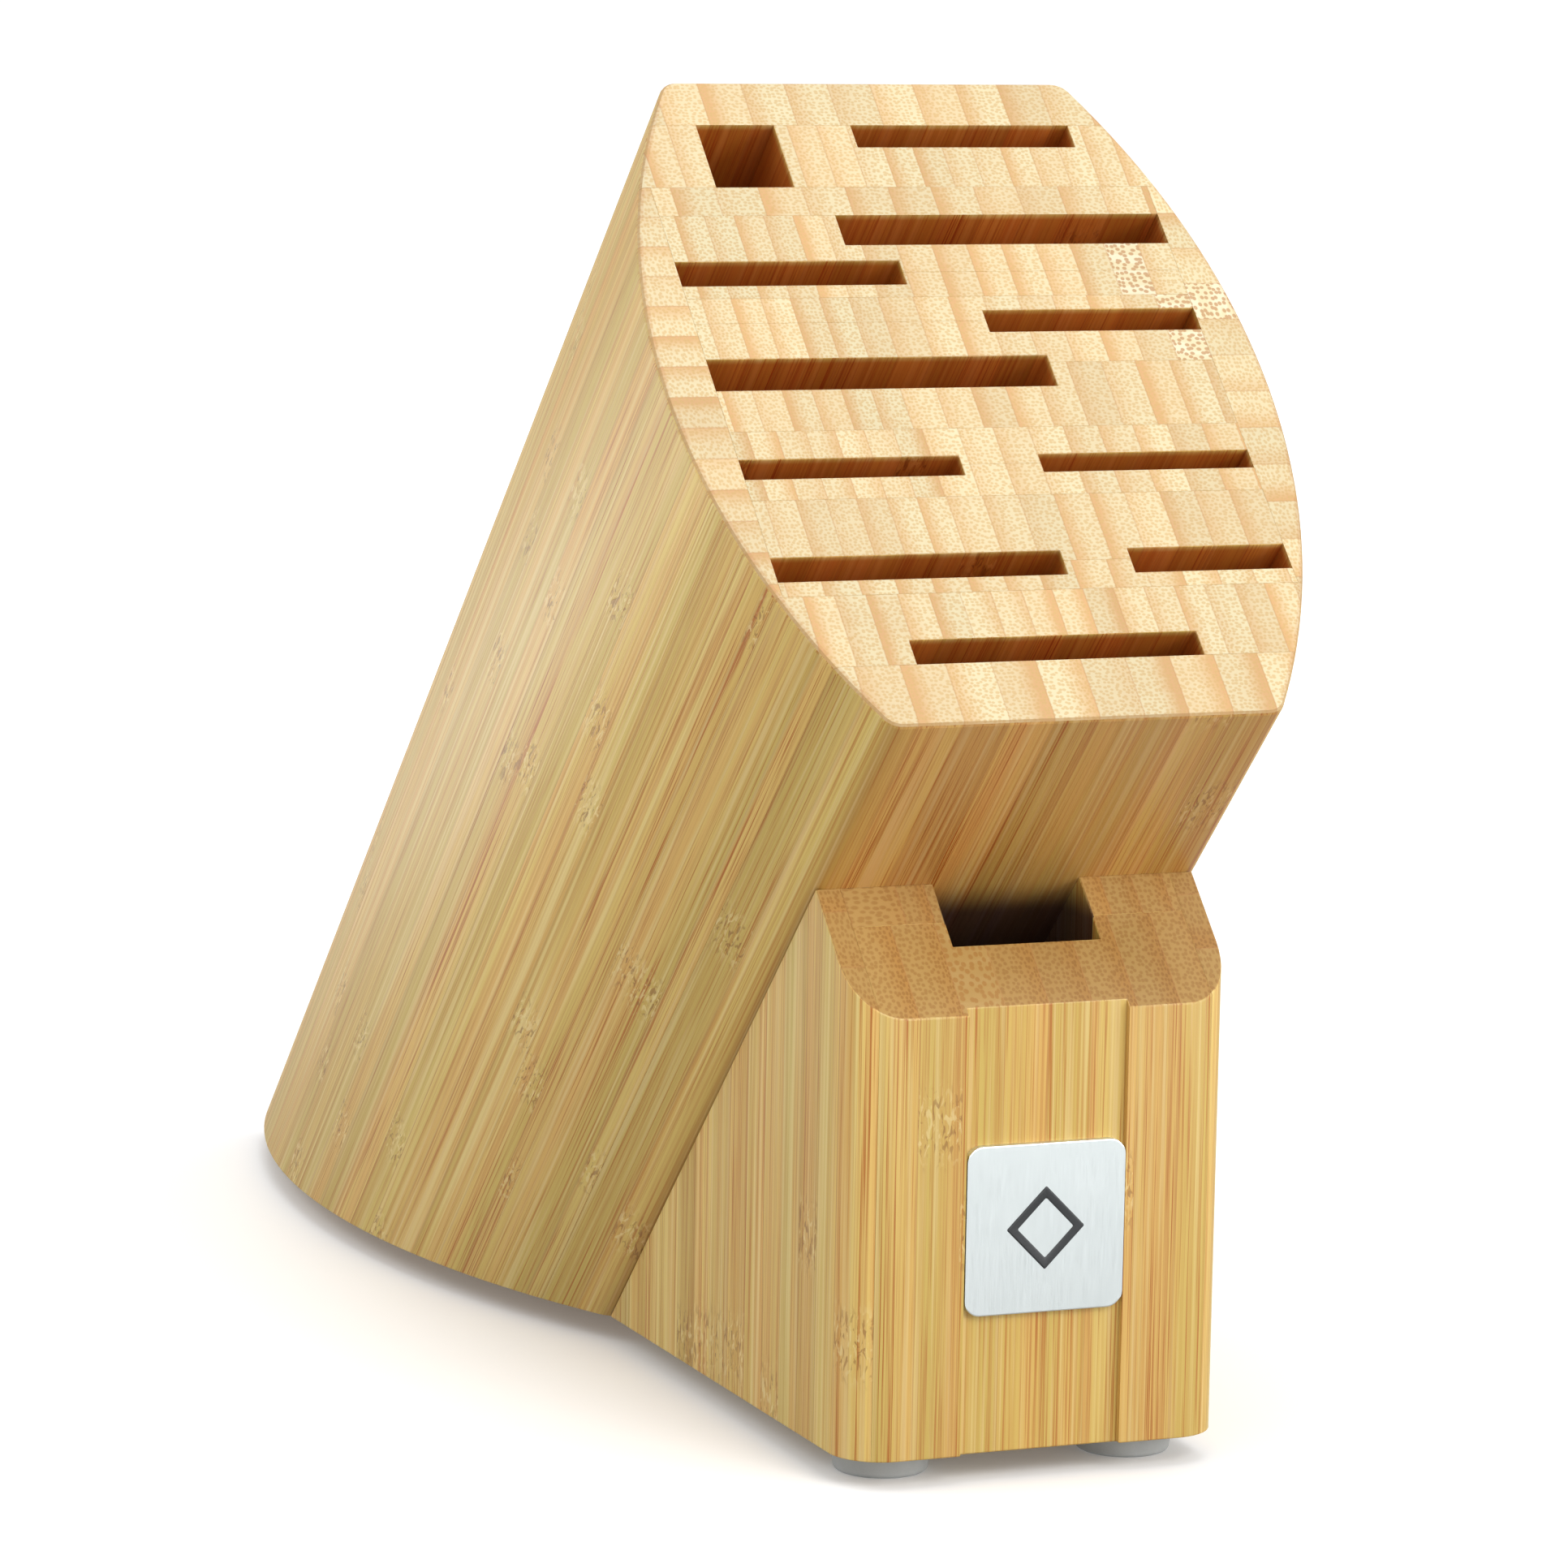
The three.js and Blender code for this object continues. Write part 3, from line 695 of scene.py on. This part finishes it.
def add_fittings():
    """The badge with its mark, the rubber feet, their screws, and the dowels."""
    refined("badge", "badge_steel", brushed_steel())
    refined("badge_mark", "badge_print", badge_ink())
    rubber, steel, dowel = grey_rubber(), zinc_steel(), beech()
    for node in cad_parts:
        if node.startswith("rubber_"):
            refined(node, "foot_rubber", rubber)
        if node.startswith("screw_"):
            refined(node, "screw_steel", steel)
        if node.startswith("dowel_"):
            refined(node, "dowel_wood", dowel)


# ---- Camera, light and floor -------------------------------------------------------------

CAMERA_AZIMUTH = math.radians(-22.23)
CAMERA_ELEVATION = math.radians(8.38)
CAMERA_ROLL = math.radians(1.02)
CAMERA_DISTANCE = 1.0622           # m
CAMERA_LENS = 142.9                # mm
CAMERA_SENSOR = 36                 # mm
AIM_FROM_CENTRE = Vector((0.0090, -0.0063, -0.0161))

WORLD_STRENGTH = 0.73              # the surroundings as light
FRONT_GLOW = 1.7                   # the surroundings in front, as glossy surfaces mirror them
BACK_GLOW = 0.5                    # the surroundings behind, as mirrored
PANEL_GLOW = 4.0                   # a panel of the floor behind and to the left, as mirrored
NEAR_GLOW = -0.06                  # the floor round the block, as seen: below zero, a faint painted shade
FAR_GLOW = 0.22                    # the floor far off, as seen
FLOOR_FILL = 0.15                  # the glow of the floor as light
FLOOR_AS_LIGHT = (0.35, 0.35, 0.35, 1)
FLOOR_AS_SEEN = (0.95, 0.95, 0.95, 1)
FLOOR_REACH = 30.0                 # half the side of the floor, m
LIGHTS_AIM = Vector((0, 0, 0.1))
LIGHTS = {                         # where each stands, how wide it is, and its watts
    "top": ((0.0, -0.1, 1.7), 1.2, 6.6),
    "left": ((-0.7, 0.1, 0.75), 0.5, 1.1),
    "back_left": ((-0.9, 1.7, 1.0), 1.2, 3.2),
    "front_low": ((0.1, -1.7, 0.25), 0.8, 1.0),
    "front_top": ((0.3, -1.5, 1.2), 0.9, 12),
    "front_right": ((1.2, -1.3, 0.5), 0.9, 10),
}


def add_camera():
    """A long lens a metre off, low in front and a little to the left."""
    low, high = CAD_BOX
    aim = (low + high) / 2 + AIM_FROM_CENTRE
    back = Vector((
        math.sin(CAMERA_AZIMUTH) * math.cos(CAMERA_ELEVATION),
        -math.cos(CAMERA_AZIMUTH) * math.cos(CAMERA_ELEVATION),
        math.sin(CAMERA_ELEVATION),
    ))
    camera = bpy.data.objects.new("camera", bpy.data.cameras.new("camera"))
    camera.data.lens = CAMERA_LENS
    camera.data.sensor_width = CAMERA_SENSOR
    camera.data.clip_end = 100
    level = (-back).to_track_quat("-Z", "Y").to_matrix().to_4x4()
    roll = Matrix.Rotation(CAMERA_ROLL, 4, "Z")
    camera.matrix_world = Matrix.Translation(aim + back * CAMERA_DISTANCE) @ level @ roll
    bpy.context.scene.collection.objects.link(camera)
    bpy.context.scene.camera = camera


def studio_surroundings():
    """White as seen, softer as light, and brighter in front than behind where mirrored."""
    g = Graph(bpy.data.worlds.new("studio"), "Background")
    rays = g.node("ShaderNodeLightPath").outputs
    backwards = g.parts(g.node("ShaderNodeTexCoord").outputs["Generated"])[1]
    glow = g.step(backwards, -0.4, 0.4, FRONT_GLOW, BACK_GLOW)
    more = g.math("SUBTRACT", glow, WORLD_STRENGTH)
    light = g.line(rays["Is Glossy Ray"], more, WORLD_STRENGTH)
    g.set(Color=(1, 1, 1, 1), Strength=g.math("MAXIMUM", rays["Is Camera Ray"], light))
    return g.owner


def add_studio():
    """The surroundings and the lamps, all turned to the block."""
    bpy.context.scene.world = studio_surroundings()
    bpy.context.scene.view_settings.view_transform = "Standard"
    for name, (location, size, watts) in LIGHTS.items():
        light = bpy.data.lights.new(name, "AREA")
        light.shape = "DISK"
        light.size = size
        light.energy = watts
        lamp = bpy.data.objects.new(name, light)
        lamp.location = location
        towards = LIGHTS_AIM - lamp.location
        lamp.rotation_euler = towards.to_track_quat("-Z", "Y").to_euler()
        bpy.context.scene.collection.objects.link(lamp)


def mirrored_floor(g):
    """How brightly glossy surfaces see the floor: its front, its back, and a panel back left."""
    x, y, _ = g.parts(millimetres(g))
    panel = g.times(g.step(y, 300.0, 900.0), g.step(x, -650.0, -250.0, PANEL_GLOW, 0.0))
    behind = g.step(y, 300.0, 1500.0, 0.0, BACK_GLOW)
    before = g.step(y, -1500.0, -300.0, FRONT_GLOW, 0.0)
    return g.add(g.add(behind, before), panel)


def clear_from_below(g):
    """Lets a view from underneath pass through."""
    clear = g.node("ShaderNodeMixShader")
    g.feed(clear.inputs[0], g.node("ShaderNodeNewGeometry").outputs["Backfacing"])
    g.feed(clear.inputs[1], g.shader.outputs[0])
    g.feed(clear.inputs[2], g.node("ShaderNodeBsdfTransparent").outputs[0])
    g.feed(g.tree.nodes["Material Output"].inputs["Surface"], clear.outputs[0])


def floor_paper():
    """White paper, glowing so that only close shadows show on it, with a faint painted shade round
    the block, and clear from below.
    """
    g = material_graph("floor_paper")
    rays = g.node("ShaderNodeLightPath").outputs
    seen = rays["Is Camera Ray"]
    away = g.vector_math("DISTANCE", millimetres(g), (0, 0, 0), "Value")
    # Painted shade: round the block the glow as seen drops below zero and darkens the floor a
    # little.
    seen_glow = g.step(away, 200.0, 900.0, NEAR_GLOW, FAR_GLOW)
    other_glow = g.line(rays["Is Glossy Ray"], mirrored_floor(g), FLOOR_FILL)
    g.set(Base_Color=g.mix(seen, FLOOR_AS_LIGHT, FLOOR_AS_SEEN), Roughness=0.9,
          Specular_IOR_Level=0.1, Emission_Color=(1, 1, 1, 1),
          Emission_Strength=g.line(seen, seen_glow, other_glow))
    clear_from_below(g)
    return g.owner


def add_floor():
    mesh = bpy.data.meshes.new("floor")
    turns = ((-1, -1), (1, -1), (1, 1), (-1, 1))
    corners = [(x * FLOOR_REACH, y * FLOOR_REACH, 0) for x, y in turns]
    mesh.from_pydata(corners, [], [(0, 1, 2, 3)])
    floor = bpy.data.objects.new("floor", mesh)
    bpy.context.scene.collection.objects.link(floor)
    mesh.materials.append(floor_paper())


add_camera()
add_studio()
add_floor()
add_woods()
add_fittings()
